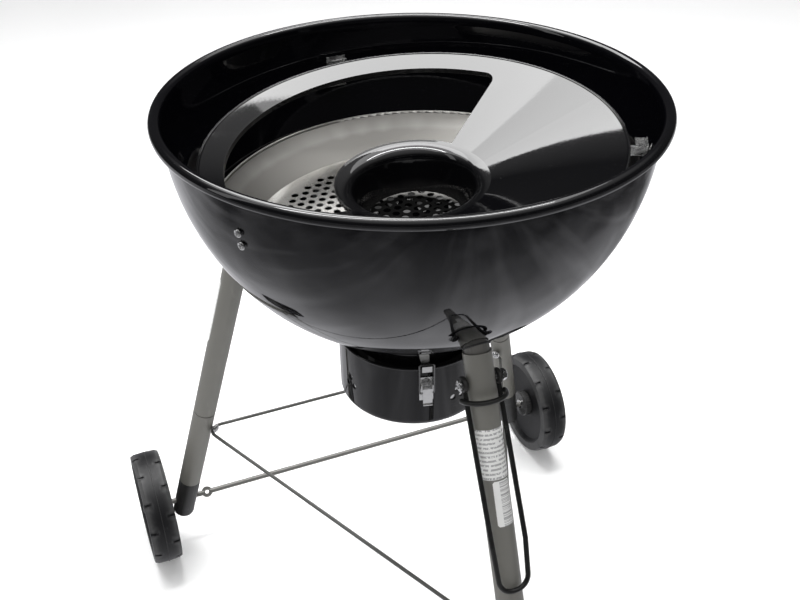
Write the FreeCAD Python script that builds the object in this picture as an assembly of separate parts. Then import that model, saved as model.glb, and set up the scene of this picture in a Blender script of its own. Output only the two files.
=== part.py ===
import FreeCAD, Part
import math
import os
from FreeCAD import Vector

# Kettle charcoal grill: an enamelled bowl on three tube legs, two of them on wheels, with a
# charcoal pan and a funnel insert inside and an ash bucket latched under the bowl.
# Millimetres. The floor is Z = 0, the wheels are towards +Y, the single leg is towards -Y.
# Everything is drawn about the kettle's own axis, then moved along Y by KETTLE_Y, so that the
# origin is the middle of the footprint. Azimuths are measured from -Y towards +X.

# ---- Bowl ----
RIM_Z = 816.5
BOWL_R = 273.0
BOWL_DEPTH = 283.0
BOWL_WALL = 1.5
BEAD_R = 6.5
BEAD_LAP = 1.0
OUTLET_R = 70.0

# ---- Charcoal pan and funnel: each is a loose fit and sits a little out of level ----
PAN_R = 236.5
PAN_FLOOR_R = 197.0
PAN_LEDGE_W = 16.0
PAN_ROLL_R = 2.0
PAN_Z = RIM_Z - 122.0
PAN_DROP = 40.0
PAN_SLOPE = (0.035, 0.020)
PLATE_PITCH = 14.0
PLATE_HOLE_R = 4.6
FUNNEL_R = 242.0
FUNNEL_ROLL_R = 1.6
FUNNEL_Z = RIM_Z - 51.5
FUNNEL_SLOPE = (0.067, 0.049)
FUNNEL_CONE = 0.31
FUNNEL_THROAT_R = 68.0
FUNNEL_LIP_W = 21.0
THROAT_BEND = 22.0
THROAT_DEPTH = 53.0
THROAT_TAPER = 8.0
CUT_OUTER_R = 213.0
CUT_INNER_R = 92.0
CUT_FROM = -71.0
CUT_TO = -233.0
CUT_CORNER_R = 14.0
CUT_HEM = 6.0
SHEET = 1.2

# ---- Brackets for the grate and the funnel ----
# Each bracket's azimuth and its two screws' heights; the foot is bent to suit the funnel.
BRACKETS = {
    "left": (-60.0, (RIM_Z - 43.0, RIM_Z - 58.0)),
    "right": (60.0, (RIM_Z - 58.0, RIM_Z - 71.0)),
    "rear": (180.0, (RIM_Z - 58.0, RIM_Z - 71.0)),
}
BRACKET_W = 26.0
GRATE_Z = RIM_Z - 37.0
FOOT_GAP = 4.6
TAB_REACH = 14.0
SCREW_R = 2.5
SCREW_HOLE_R = 2.6
SCREW_STANDOFF = 1.6
NUT_H = 2.4
PEG_R = 3.0
PEG_GAP = 0.3

# ---- Collar and ash bucket ----
COLLAR_R = 82.5
BUCKET_R = 94.5
BUCKET_TOP = RIM_Z - 299.0
BUCKET_BOTTOM = RIM_Z - 388.0
VENT_Z = RIM_Z - 347.0
VENT_AZ = (12.0, 102.0, 192.0, 282.0)
VENT_HOLE_R = 4.0
VENT_TRIANGLE = ((-6.5, -5.5), (6.5, -5.5), (0.0, 5.5))
BUCKET_CORNER_R = 9.0
BUCKET_BEAD_R = 1.8
DAMPER_SHEET = 1.0
DAMPER_GAP = 0.4
STUD_R = 1.6
DAMPER_TURN = 14.0
DAMPER_TAB_AZ = 140.0
DAMPER_TAB_Z = BUCKET_BOTTOM + 20.0
LATCH_AZ = {"front": -13.5, "rear": 166.5}
KEEPER_Z = RIM_Z - 290.5
PIVOT_X = BUCKET_R + 7.0
PIVOT_Z = RIM_Z - 322.0
BAIL_X = PIVOT_X - 0.8
BAIL_Z = PIVOT_Z - 9.0
BAIL_HALF = 8.8
EAR_GAP_HALF = 6.2
LEVER_HALF = 5.7
LEVER_SHEET = 1.1
LATCH_PIN_R = 1.5
BAIL_WIRE_R = 1.0
BAIL_BEND_R = 1.6
KEEPER_W = 12.0

# ---- Legs ----
LEG_R = 16.25
LEG_WALL = 1.5
LEG_INNER_R = LEG_R - LEG_WALL - 0.2
BOLT_R = 3.0
BOLT_HOLE_R = 3.1
SEAM_Z = RIM_Z - 530.0
REAR_AZ = 132.6
FRONT_FOOT = (398.0, 0.365)
REAR_FOOT = (417.9, 0.308)
SEAM_GAP = 1.6
CAP_TOP_Z = 135.0
FRONT_CAP_TOP_Z = 92.0
REAR_END_Z = 57.5
BRACE_Z = RIM_Z - 567.0
BRACE_WIRE_R = 2.5
BRACE_BEND_R = 16.0

# ---- Axle and wheels ----
WHEEL_R = 88.5
WHEEL_W = 42.0
TRACK_HALF = 335.5
HUB_PROUD = 2.0
HUB_R = 22.0
DISH = 8.0
AXLE_R = 4.0
FIT = 0.05
AXLE_HALF = TRACK_HALF + WHEEL_W / 2 - 3.0
NOTCHES = 12
POCKETS = 6

# ---- Hanger on the front leg ----
HANGER_Z = RIM_Z - 251.5
HANGER_WIRE_R = 3.0
HANGER_LENGTH = 249.0
HANGER_BOW = 17.5
HANGER_SHOULDER = 60.0
EYE_BORE_R = 3.4

Z_AXIS = Vector(0, 0, 1)
X_AXIS = Vector(1, 0, 0)
ORIGIN = Vector(0, 0, 0)

LEGS = {
    "front": (0.0, FRONT_FOOT),
    "left_rear": (-REAR_AZ, REAR_FOOT),
    "right_rear": (REAR_AZ, REAR_FOOT),
}


# ---- Small helpers ----
def polar(radius, azimuth, z=0.0):
    a = math.radians(azimuth)
    return Vector(radius * math.sin(a), -radius * math.cos(a), z)


def at_azimuth(shape, azimuth):
    """Turn a shape drawn in the +X half of the XZ plane to an azimuth about the kettle's axis."""
    turned = shape.copy()
    turned.rotate(ORIGIN, Z_AXIS, azimuth - 90.0)
    return turned


def rod_between(start, end, radius):
    return Part.makeCylinder(radius, (end - start).Length, start, end - start)


def tube_between(start, end, radius, wall):
    return rod_between(start, end, radius).cut(rod_between(start, end, radius - wall))


def lathe(points, axis=Z_AXIS):
    """Revolve a closed outline; points are (radius, height) along the axis."""
    if axis == Z_AXIS:
        corners = [Vector(r, 0, h) for r, h in points]
    else:
        corners = [Vector(h, 0, r) for r, h in points]
    face = Part.Face(Part.makePolygon(corners + corners[:1]))
    return face.revolve(ORIGIN, axis, 360)


def ring_bead(radius, z, bead):
    return Part.makeTorus(radius, bead, Vector(0, 0, z), Z_AXIS)


def group(shapes):
    return Part.makeCompound(shapes)


def bent_wire(points, bend, radius, closed=False):
    """A round wire through the points, with tangent arcs of one bend radius at the corners."""
    count = len(points)
    corners = range(count) if closed else range(1, count - 1)
    arcs = {}
    for i in corners:
        here = points[i]
        back = (points[i - 1] - here).normalize()
        ahead = (points[(i + 1) % count] - here).normalize()
        half = back.getAngle(ahead) / 2
        reach = bend / math.tan(half)
        middle = here + (back + ahead).normalize() * (bend / math.sin(half) - bend)
        arcs[i] = (here + back * reach, middle, here + ahead * reach)
    edges = []
    if closed:
        for i in range(count):
            following = arcs[(i + 1) % count]
            edges.append(Part.Arc(*arcs[i]).toShape())
            edges.append(Part.LineSegment(arcs[i][2], following[0]).toShape())
    else:
        last = points[0]
        for i in corners:
            edges.append(Part.LineSegment(last, arcs[i][0]).toShape())
            edges.append(Part.Arc(*arcs[i]).toShape())
            last = arcs[i][2]
        edges.append(Part.LineSegment(last, points[-1]).toShape())
    pieces = []
    for edge in edges:
        start = edge.valueAt(edge.FirstParameter)
        along = edge.tangentAt(edge.FirstParameter)
        section = Part.Wire(Part.makeCircle(radius, start, along))
        pieces.append(Part.Wire(edge).makePipeShell([section], True, False))
    return pieces[0].multiFuse(pieces[1:]).removeSplitter()


def bowl_radius(z, inset=0.0):
    """Radius of the bowl's outside, less an inset, at a height above the floor."""
    part = (RIM_Z - z) / (BOWL_DEPTH - inset)
    return (BOWL_R - inset) * math.sqrt(1 - part * part)


def bowl_height(radius, inset=0.0):
    part = radius / (BOWL_R - inset)
    return RIM_Z - (BOWL_DEPTH - inset) * math.sqrt(1 - part * part)


def bowl_arc(inset, radius):
    """The bowl's half profile from an end at the given radius up to the rim plane."""
    depth = BOWL_DEPTH - inset
    wide = BOWL_R - inset
    centre = Vector(0, 0, RIM_Z)
    oval = Part.Ellipse(centre - Vector(0, 0, depth), centre + Vector(wide, 0, 0), centre)
    return Part.ArcOfEllipse(oval, math.asin(radius / wide), math.pi / 2).toShape()


def bowl_filled(inset=0.0):
    """The solid that the bowl's outside encloses, used to trim what is welded to it."""
    depth = BOWL_DEPTH - inset
    wide = BOWL_R - inset
    centre = Vector(0, 0, RIM_Z)
    arc = bowl_arc(inset, 0.0)
    down = Part.LineSegment(centre, centre - Vector(0, 0, depth)).toShape()
    across = Part.LineSegment(centre + Vector(wide, 0, 0), centre).toShape()
    return Part.Face(Part.Wire([down, arc, across])).revolve(ORIGIN, Z_AXIS, 360)


def leaned(shape, z, slope):
    """Tip a shape about the point on the axis at height z, to the slope along X and along Y."""
    tipped = shape.copy()
    centre = Vector(0, 0, z)
    tipped.rotate(centre, Vector(0, 1, 0), -math.degrees(math.atan(slope[0])))
    tipped.rotate(centre, X_AXIS, math.degrees(math.atan(slope[1])))
    return tipped


def slope_height(z, slope, radius, azimuth):
    spot = polar(radius, azimuth)
    return z + slope[0] * spot.x + slope[1] * spot.y


def leg_point(leg, z):
    azimuth, (foot, lean) = LEGS[leg]
    return polar(foot - lean * z, azimuth, z)


def leg_down(leg):
    return (leg_point(leg, 0) - leg_point(leg, 100)).normalize()


def leg_top(leg):
    """Height at which the leg's centre line meets the bowl."""
    low, high = SEAM_Z, RIM_Z - 60.0
    for _ in range(40):
        middle = (low + high) / 2
        spot = leg_point(leg, middle)
        outside = math.hypot(spot.x, spot.y) > bowl_radius(max(middle, RIM_Z - BOWL_DEPTH + 1))
        low, high = (middle, high) if outside else (low, middle)
    return low


def screw(start, direction, shank_r, length, head_r, head_h):
    """A pan-head screw: the head stands back from start, the shank runs along direction."""
    along = Vector(direction).normalize()
    shank = Part.makeCylinder(shank_r, length, start, along)
    head = Part.makeCylinder(head_r, head_h, start - along * head_h, along)
    back = [e for e in head.Edges if e.Closed and (e.CenterOfMass - start).Length > head_h / 2]
    return shank.fuse(head.makeFillet(head_h * 0.55, back)).removeSplitter()


def hexagon_nut(start, direction, across, height, bore):
    along = Vector(direction).normalize()
    side = Z_AXIS.cross(along).normalize()
    up = along.cross(side)
    corners = []
    for k in range(6):
        a = math.radians(60 * k)
        corners.append(start + (side * math.cos(a) + up * math.sin(a)) * across / math.sqrt(3))
    block = Part.Face(Part.makePolygon(corners + corners[:1])).extrude(along * height)
    return block.cut(Part.makeCylinder(bore, height, start, along))


# ---- Bowl and what is fixed to it ----
def bowl():
    outer = bowl_arc(0.0, OUTLET_R)
    inner = bowl_arc(BOWL_WALL, OUTLET_R)
    lip = Part.LineSegment(outer.Vertexes[0].Point, inner.Vertexes[0].Point).toShape()
    top = Part.LineSegment(Vector(BOWL_R - BOWL_WALL, 0, RIM_Z), Vector(BOWL_R, 0, RIM_Z)).toShape()
    face = Part.Face(Part.Wire(Part.sortEdges([outer, lip, inner, top])[0]))
    shell = face.revolve(ORIGIN, Z_AXIS, 360)
    shell = shell.fuse(ring_bead(BOWL_R - BEAD_LAP + BEAD_R, RIM_Z, BEAD_R))
    for azimuth, heights in BRACKETS.values():
        for z in heights:
            inside = polar(BOWL_R - 40, azimuth, z)
            shell = shell.cut(rod_between(inside, polar(BOWL_R + 20, azimuth, z), SCREW_HOLE_R))
    return shell


def foot_height(side):
    """Underside of the bracket's foot, clear of the funnel's rolled edge."""
    return slope_height(FUNNEL_Z, FUNNEL_SLOPE, FUNNEL_R, BRACKETS[side][0]) - FOOT_GAP - SHEET


def bracket_low(side):
    return min(foot_height(side), BRACKETS[side][1][-1] - 7)


def bracket_back(side):
    """Radius of the plate's back, which just clears the sloping wall at its lower edge."""
    return bowl_radius(bracket_low(side), BOWL_WALL) - 0.8


def bracket(side):
    """Sheet bracket on the bowl's wall: a short grate tab on top, a funnel foot below it."""
    azimuth, heights = BRACKETS[side]
    low = bracket_low(side)
    foot_z = foot_height(side)
    back = bracket_back(side)
    half = BRACKET_W / 2
    plate = Part.makeBox(SHEET, BRACKET_W, GRATE_Z - low, Vector(back - SHEET, -half, low))
    tab = Part.makeBox(TAB_REACH, BRACKET_W - 6, SHEET, Vector(back - TAB_REACH, 3 - half, GRATE_Z - SHEET))
    reach = back - (FUNNEL_R - 3.5)
    foot = Part.makeBox(reach, BRACKET_W, SHEET, Vector(back - reach, -half, foot_z))
    corners = [e for e in foot.Edges if e.BoundBox.XMax < back - reach + 1 and e.BoundBox.YLength < 0.1]
    shape = plate.fuse([tab, foot.makeFillet(5.0, corners)]).removeSplitter()
    for z in heights:
        shape = shape.cut(rod_between(Vector(back - 3, 0, z), Vector(back + 3, 0, z), SCREW_HOLE_R))
    return at_azimuth(shape, azimuth)


def bracket_screws():
    screws = []
    for side, (azimuth, heights) in BRACKETS.items():
        for z in heights:
            face = bowl_radius(z) + SCREW_STANDOFF
            length = face - bracket_back(side) + SHEET + NUT_H + 0.2
            screws.append(screw(polar(face, azimuth, z), polar(-1, azimuth), SCREW_R, length, 4.6, 2.4))
    return group(screws)


def bracket_nuts():
    nuts = []
    for side, (azimuth, heights) in BRACKETS.items():
        for z in heights:
            start = polar(bracket_back(side) - SHEET, azimuth, z)
            nuts.append(hexagon_nut(start, polar(-1, azimuth), 7.6, NUT_H, SCREW_R))
    return group(nuts)


def pan_pegs():
    """Three welded pegs that carry the charcoal pan by its rolled edge."""
    pegs = []
    for azimuth in (-120.0, 0.0, 120.0):
        z = slope_height(PAN_Z, PAN_SLOPE, PAN_R - 3, azimuth) - PAN_ROLL_R - PEG_R - PEG_GAP
        inner = polar(PAN_R - 3.2, azimuth, z)
        peg = rod_between(inner, polar(bowl_radius(z, BOWL_WALL) + 6, azimuth, z), PEG_R)
        pegs.append(peg.common(bowl_filled(BOWL_WALL)))
    return group(pegs)


def collar():
    """Ring welded under the bowl, flanged out into the mouth of the ash bucket."""
    low = BUCKET_TOP - 8.0
    barrel = tube_between(Vector(0, 0, low), Vector(0, 0, RIM_Z - 255), COLLAR_R, SHEET)
    flange = tube_between(Vector(0, 0, low), Vector(0, 0, low + SHEET), BUCKET_R - 2.0, 12.0)
    return barrel.fuse(flange).removeSplitter().cut(bowl_filled())


def keepers():
    """Hook plates on the collar that the latch bails pull down on."""
    hooks = []
    inner = COLLAR_R - 0.4
    for azimuth in LATCH_AZ.values():
        arm = Part.makeBox(21.2, KEEPER_W, SHEET, Vector(inner, -KEEPER_W / 2, KEEPER_Z - SHEET))
        face = Part.makeBox(SHEET, KEEPER_W, 8.0, Vector(inner + 20.0, -KEEPER_W / 2, KEEPER_Z - 8.0))
        root = Part.makeBox(SHEET, KEEPER_W, 9.0, Vector(inner, -KEEPER_W / 2, KEEPER_Z - SHEET))
        hook = arm.fuse([face, root]).removeSplitter()
        hook = hook.cut(Part.makeCylinder(COLLAR_R, 60, Vector(0, 0, KEEPER_Z - 30)))
        hooks.append(at_azimuth(hook, azimuth))
    return group(hooks)


# ---- Charcoal pan ----
def charcoal_pan():
    floor_z = PAN_Z - PAN_DROP
    outline = [(PAN_FLOOR_R - PAN_LEDGE_W, floor_z), (PAN_FLOOR_R, floor_z), (PAN_R - 3, PAN_Z - 1)]
    outline += [(PAN_R - 3 - SHEET, PAN_Z - 1 + 0.3), (PAN_FLOOR_R - 0.8, floor_z + SHEET)]
    outline += [(PAN_FLOOR_R - PAN_LEDGE_W, floor_z + SHEET)]
    band = lathe(outline).fuse(ring_bead(PAN_R - PAN_ROLL_R, PAN_Z, PAN_ROLL_R))
    return leaned(band, PAN_Z, PAN_SLOPE)


def pan_plate():
    """Perforated plate that lies on the pan's inner ledge."""
    z = PAN_Z - PAN_DROP + SHEET
    wires = [Part.Wire(Part.makeCircle(PAN_FLOOR_R - 2.0, Vector(0, 0, z)))]
    row_step = PLATE_PITCH * math.sqrt(3) / 2
    rows = int(PAN_FLOOR_R / row_step)
    limit = PAN_FLOOR_R - PAN_LEDGE_W - PLATE_PITCH / 2
    for row in range(-rows, rows + 1):
        offset = PLATE_PITCH / 2 if row % 2 else 0.0
        for column in range(-rows, rows + 1):
            spot = Vector(column * PLATE_PITCH + offset, row * row_step, z)
            if math.hypot(spot.x, spot.y) < limit:
                wires.append(Part.Wire(Part.makeCircle(PLATE_HOLE_R, spot)))
    plate = Part.Face(wires, "Part::FaceMakerBullseye").extrude(Vector(0, 0, SHEET))
    return leaned(plate, PAN_Z, PAN_SLOPE)


# ---- Funnel ----
def funnel_skin(thickness, edge_r, inner_r):
    """The funnel's cone as a plain ring of the given thickness, hung below its top surface."""
    top = [(edge_r, FUNNEL_Z), (inner_r, FUNNEL_Z - FUNNEL_CONE * (FUNNEL_R - inner_r))]
    low = [(r, z - thickness) for r, z in reversed(top)]
    return lathe(top + low)


def throat_lip():
    """Rounded lip that turns down into the tapered throat."""
    join_r = FUNNEL_THROAT_R + FUNNEL_LIP_W
    join_z = FUNNEL_Z - FUNNEL_CONE * (FUNNEL_R - join_r)
    leaving = Vector(-1, 0, -FUNNEL_CONE * 0.2) * 14
    entering = Vector(-THROAT_TAPER, 0, THROAT_BEND - THROAT_DEPTH).normalize() * 20
    sides = []
    for inset in (0.0, SHEET):
        start = Vector(join_r, 0, join_z - inset)
        crown = Vector(FUNNEL_THROAT_R + 5.5 + inset * 0.5, 0, join_z - 6.0 - inset * 0.9)
        finish = Vector(FUNNEL_THROAT_R + inset, 0, join_z - THROAT_BEND)
        mouth = Vector(FUNNEL_THROAT_R - THROAT_TAPER + inset, 0, join_z - THROAT_DEPTH)
        curve = Part.BSplineCurve()
        curve.interpolate([start, crown, finish], InitialTangent=leaving, FinalTangent=entering)
        sides.append((start, curve.toShape(), finish, mouth))
    edges = [side[1] for side in sides]
    edges += [Part.LineSegment(side[2], side[3]).toShape() for side in sides]
    for end in (0, 3):
        edges.append(Part.LineSegment(sides[0][end], sides[1][end]).toShape())
    wire = Part.Wire(Part.sortEdges(edges)[0])
    return Part.Face(wire).revolve(ORIGIN, Z_AXIS, 360)


def cut_prism(grow):
    """Upright prism with the outline of the funnel's opening, grown all round by an amount."""
    tall = 200.0
    base = FUNNEL_Z - 150.0
    outer = Part.makeCylinder(CUT_OUTER_R + grow, tall, Vector(0, 0, base))
    prism = outer.cut(Part.makeCylinder(CUT_INNER_R - grow, tall, Vector(0, 0, base)))
    for azimuth, side in ((CUT_FROM, -1), (CUT_TO, 1)):
        half = Part.makeBox(600, 600, tall, Vector(-300, -grow if side > 0 else grow - 600, base))
        prism = prism.common(at_azimuth(half, azimuth))
    upright = []
    for edge in prism.Edges:
        box = edge.BoundBox
        middle = math.hypot(box.Center.x, box.Center.y)
        if box.ZLength > tall - 1 and box.XLength + box.YLength < 1 and middle > 150:
            upright.append(edge)
    return prism.makeFillet(CUT_CORNER_R + grow, upright)


def funnel():
    skin = funnel_skin(SHEET, FUNNEL_R, FUNNEL_THROAT_R + FUNNEL_LIP_W)
    opening = cut_prism(0.0)
    edging = cut_prism(SHEET).cut(opening)
    turned = edging.common(funnel_skin(CUT_HEM, FUNNEL_R, FUNNEL_THROAT_R + 10))
    shape = skin.cut(opening).fuse([turned, throat_lip()])
    shape = shape.fuse(ring_bead(FUNNEL_R - FUNNEL_ROLL_R, FUNNEL_Z - SHEET, FUNNEL_ROLL_R)).removeSplitter()
    return leaned(shape, FUNNEL_Z, FUNNEL_SLOPE)


# ---- Ash bucket, damper and latches ----
def vent_holes(turn):
    """Drills for the triangles of round vent holes in the bucket's wall."""
    drills = []
    for azimuth in VENT_AZ:
        for across, up in VENT_TRIANGLE:
            bearing = azimuth + turn + math.degrees(across / BUCKET_R)
            z = VENT_Z + up
            inner = polar(BUCKET_R - 8, bearing, z)
            drills.append(rod_between(inner, polar(BUCKET_R + 8, bearing, z), VENT_HOLE_R))
    return group(drills)


def rounded_drum(radius, low, high, corner):
    drum = Part.makeCylinder(radius, high - low, Vector(0, 0, low))
    return drum.makeFillet(corner, [e for e in drum.Edges if abs(e.CenterOfMass.z - low) < 0.01])


def ash_bucket():
    body = rounded_drum(BUCKET_R, BUCKET_BOTTOM, BUCKET_TOP, BUCKET_CORNER_R)
    hollow = rounded_drum(BUCKET_R - SHEET, BUCKET_BOTTOM + SHEET, BUCKET_TOP, BUCKET_CORNER_R - SHEET)
    shell = body.cut(hollow).fuse(ring_bead(BUCKET_R - 0.2, BUCKET_TOP - 0.8, BUCKET_BEAD_R))
    slot = Part.makeBox(20, 42, 5.0, Vector(BUCKET_R - 8, -21, DAMPER_TAB_Z - 2.5))
    return shell.cut([vent_holes(0.0), at_azimuth(slot, DAMPER_TAB_AZ + DAMPER_TURN / 2)])


def damper_ring():
    """Ring inside the bucket that covers the vents; its tab reaches out through a slot."""
    low = BUCKET_BOTTOM + 10.5
    radius = BUCKET_R - SHEET - DAMPER_GAP
    ring = tube_between(Vector(0, 0, low), Vector(0, 0, VENT_Z + 16), radius, DAMPER_SHEET)
    tab = Part.makeBox(16, 12, 1.6, Vector(radius - 0.8, -6, DAMPER_TAB_Z - 0.8))
    return ring.cut(vent_holes(-DAMPER_TURN)).fuse(at_azimuth(tab, DAMPER_TAB_AZ)).removeSplitter()


def damper_studs():
    """Three studs on the bucket's wall that the damper ring turns on."""
    studs = []
    for azimuth in (0.0, 120.0, 240.0):
        base = polar(BUCKET_R - 4.6, azimuth, BUCKET_BOTTOM + 9.0)
        post = Part.makeCylinder(STUD_R, 1.2, base, Z_AXIS)
        root = base + Z_AXIS * 0.6
        studs.append(post.fuse(rod_between(root, polar(BUCKET_R - SHEET - 0.1, azimuth, root.z), 0.6)))
    return group(studs)


def across_latch(x, z, half, radius):
    """A round bar across a latch, drawn in the +X half plane."""
    return rod_between(Vector(x, -half, z), Vector(x, half, z), radius)


def latch_rivet_heights():
    return PIVOT_Z - 19.5, PIVOT_Z + 7.5


def latch_base(azimuth):
    face = BUCKET_R + 1.7
    base = Part.makeBox(1.2, 17, 34, Vector(face - 1.2, -8.5, PIVOT_Z - 23))
    for y in (-EAR_GAP_HALF - 1.2, EAR_GAP_HALF):
        base = base.fuse(Part.makeBox(8.5, 1.2, 10, Vector(face - 0.5, y, PIVOT_Z - 5)))
    base = base.removeSplitter().cut(across_latch(PIVOT_X, PIVOT_Z, 12, LATCH_PIN_R))
    for z in latch_rivet_heights():
        base = base.cut(rod_between(Vector(face - 3, 0, z), Vector(face + 3, 0, z), 1.5))
    return at_azimuth(base, azimuth)


def latch_bases():
    return group([latch_base(a) for a in LATCH_AZ.values()])


def latch_pins():
    return group([at_azimuth(across_latch(PIVOT_X, PIVOT_Z, 7.5, LATCH_PIN_R), a) for a in LATCH_AZ.values()])


def latch_rivets():
    """Rivets through the latch bases into the bucket."""
    rivets = []
    for azimuth in LATCH_AZ.values():
        for z in latch_rivet_heights():
            start = polar(BUCKET_R + 1.7, azimuth, z)
            rivets.append(screw(start, polar(-1, azimuth), 1.4, 1.6, 2.6, 1.0))
    return group(rivets)


def latch_lever(azimuth):
    """Channel-shaped lever; its hand end points down along the bucket when it is closed."""
    outer = PIVOT_X + 4.0
    tip_z = PIVOT_Z - 22
    outline = [(PIVOT_X - 3, PIVOT_Z + 3), (PIVOT_X + 2.6, PIVOT_Z + 3), (outer, PIVOT_Z + 1)]
    outline += [(outer, PIVOT_Z - 17), (outer - 2, PIVOT_Z - 17), (PIVOT_X - 3, BAIL_Z - 3)]
    lever = Part.makeBox(LEVER_SHEET, 2 * LEVER_HALF, PIVOT_Z + 1 - tip_z, Vector(outer, -LEVER_HALF, tip_z))
    lever = lever.fuse(across_latch(outer + 1.4, tip_z, LEVER_HALF, 1.4))
    for y in (-LEVER_HALF, LEVER_HALF - LEVER_SHEET):
        corners = [Vector(x, y, z) for x, z in outline]
        cheek = Part.Face(Part.makePolygon(corners + corners[:1])).extrude(Vector(0, LEVER_SHEET, 0))
        lever = lever.fuse(cheek)
    lever = lever.removeSplitter()
    lever = lever.cut(across_latch(PIVOT_X, PIVOT_Z, 12, LATCH_PIN_R + FIT))
    lever = lever.cut(across_latch(BAIL_X, BAIL_Z, 12, BAIL_WIRE_R + FIT))
    return at_azimuth(lever, azimuth)


def latch_bail(azimuth):
    """Wire loop from the lever up over the keeper; its ends turn in through the lever's cheeks."""
    top = KEEPER_Z + 0.3 + BAIL_WIRE_R
    left = [Vector(BAIL_X, -3.4, BAIL_Z), Vector(BAIL_X, -BAIL_HALF, BAIL_Z), Vector(BAIL_X, -BAIL_HALF, top)]
    right = [Vector(p.x, -p.y, p.z) for p in reversed(left)]
    return at_azimuth(bent_wire(left + right, BAIL_BEND_R, BAIL_WIRE_R), azimuth)


# ---- Legs ----
def leg_upper(leg):
    top = leg_top(leg)
    tube = tube_between(leg_point(leg, SEAM_Z + SEAM_GAP / 2), leg_point(leg, top - 5.0), LEG_R, LEG_WALL)
    tube = tube.cut(bowl_filled(-0.2))
    return tube.cut(leg_bolt_drill(leg))


def leg_lower(leg):
    low_z = 12.0 if leg == "front" else CAP_TOP_Z + 0.2
    tube = tube_between(leg_point(leg, low_z), leg_point(leg, SEAM_Z - SEAM_GAP / 2), LEG_R, LEG_WALL)
    spigot = tube_between(leg_point(leg, SEAM_Z - 20), leg_point(leg, SEAM_Z + 38), LEG_INNER_R, 1.6)
    plug = tube_between(leg_point(leg, SEAM_Z - 20), leg_point(leg, SEAM_Z - 1), LEG_R - 0.5, 3.2)
    return tube.fuse([spigot, plug]).removeSplitter()


def leg_socket(leg):
    """Stub welded to the bowl that the top of the leg slides over."""
    top = leg_top(leg)
    stub = tube_between(leg_point(leg, top - 62), leg_point(leg, top + 22), LEG_INNER_R, 2.0)
    return stub.cut(bowl_filled()).cut(leg_bolt_drill(leg))


def bolt_height(leg):
    return HANGER_Z if leg == "front" else leg_top(leg) - 34.0


def bolt_axis(leg):
    if leg == "front":
        return X_AXIS
    return polar(1, LEGS[leg][0]).cross(leg_down(leg)).normalize()


def leg_bolt_drill(leg):
    centre = leg_point(leg, bolt_height(leg))
    along = bolt_axis(leg)
    return rod_between(centre - along * 40, centre + along * 40, BOLT_HOLE_R)


def leg_bolts():
    """Cross bolts of the two rear legs."""
    bolts = []
    for leg in ("left_rear", "right_rear"):
        centre = leg_point(leg, bolt_height(leg))
        along = bolt_axis(leg)
        bolt = screw(centre - along * (LEG_R + 0.3), along, BOLT_R, 2 * LEG_R + 7.0, 5.5, 3.2)
        nut = hexagon_nut(centre + along * (LEG_R + 0.3), along, 10.0, 4.6, BOLT_R)
        bolts.append(bolt.fuse(nut).removeSplitter())
    return group(bolts)


def leg_cap(leg):
    """Plastic foot: a cup round the front leg, a plug flush with the tube on the rear ones."""
    if leg == "front":
        radius = LEG_R + 1.4
        blunt = Part.makeCylinder(radius, 150, leg_point(leg, 100), leg_down(leg))
        blunt = blunt.cut(rod_between(leg_point(leg, 12.0), leg_point(leg, 260), LEG_R))
        return blunt.common(Part.makeBox(900, 900, FRONT_CAP_TOP_Z, Vector(-450, -600, 0)))
    end = leg_point(leg, REAR_END_Z)
    body = rod_between(end, leg_point(leg, CAP_TOP_Z), LEG_R)
    base = [e for e in body.Edges if e.Closed and (e.CenterOfMass - end).Length < 1]
    body = body.makeFillet(8.0, base)
    plug = rod_between(leg_point(leg, CAP_TOP_Z - 1), leg_point(leg, CAP_TOP_Z + 25), LEG_INNER_R)
    return body.fuse(plug).removeSplitter().cut(axle_drill())


def bend_vertex(leg, opening):
    """Corner of the brace, placed so that its bend just touches the leg's inner side."""
    azimuth, (foot, lean) = LEGS[leg]
    inner = foot - lean * BRACE_Z - LEG_R / math.cos(math.atan(lean)) - BRACE_WIRE_R - 0.45
    return polar(inner + BRACE_BEND_R / math.sin(opening / 2) - BRACE_BEND_R, azimuth, BRACE_Z)


def leg_brace():
    """Closed triangle of round wire that ties the three legs together."""
    rough = [leg_point(name, BRACE_Z) for name in ("front", "right_rear", "left_rear")]
    points = []
    for i, name in enumerate(("front", "right_rear", "left_rear")):
        opening = (rough[i - 1] - rough[i]).getAngle(rough[(i + 1) % 3] - rough[i])
        points.append(bend_vertex(name, opening))
    return bent_wire(points, BRACE_BEND_R, BRACE_WIRE_R, closed=True)


def brace_face(leg):
    azimuth, (foot, lean) = LEGS[leg]
    z = BRACE_Z + BRACE_WIRE_R + 3.4
    return azimuth, z, foot - lean * z - LEG_R / math.cos(math.atan(lean))


def brace_washers():
    washers = []
    for leg in LEGS:
        azimuth, z, inner = brace_face(leg)
        start = polar(inner - 2 * BRACE_WIRE_R - 1.7, azimuth, z)
        end = polar(inner - 2 * BRACE_WIRE_R - 2.9, azimuth, z)
        washers.append(rod_between(start, end, 6.5).cut(rod_between(start, end, SCREW_HOLE_R)))
    return group(washers)


def brace_screws():
    screws = []
    for leg in LEGS:
        azimuth, z, inner = brace_face(leg)
        start = polar(inner - 2 * BRACE_WIRE_R - 2.9, azimuth, z)
        screws.append(screw(start, polar(1, azimuth), SCREW_R, 2 * BRACE_WIRE_R + 1.3, 4.8, 3.0))
    return group(screws)


# ---- Axle and wheels ----
def axle_centre():
    spot = leg_point("right_rear", WHEEL_R)
    return Vector(0, spot.y, WHEEL_R)


def axle_drill():
    centre = axle_centre()
    return rod_between(centre - X_AXIS * 400, centre + X_AXIS * 400, AXLE_R + 0.2)


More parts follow.
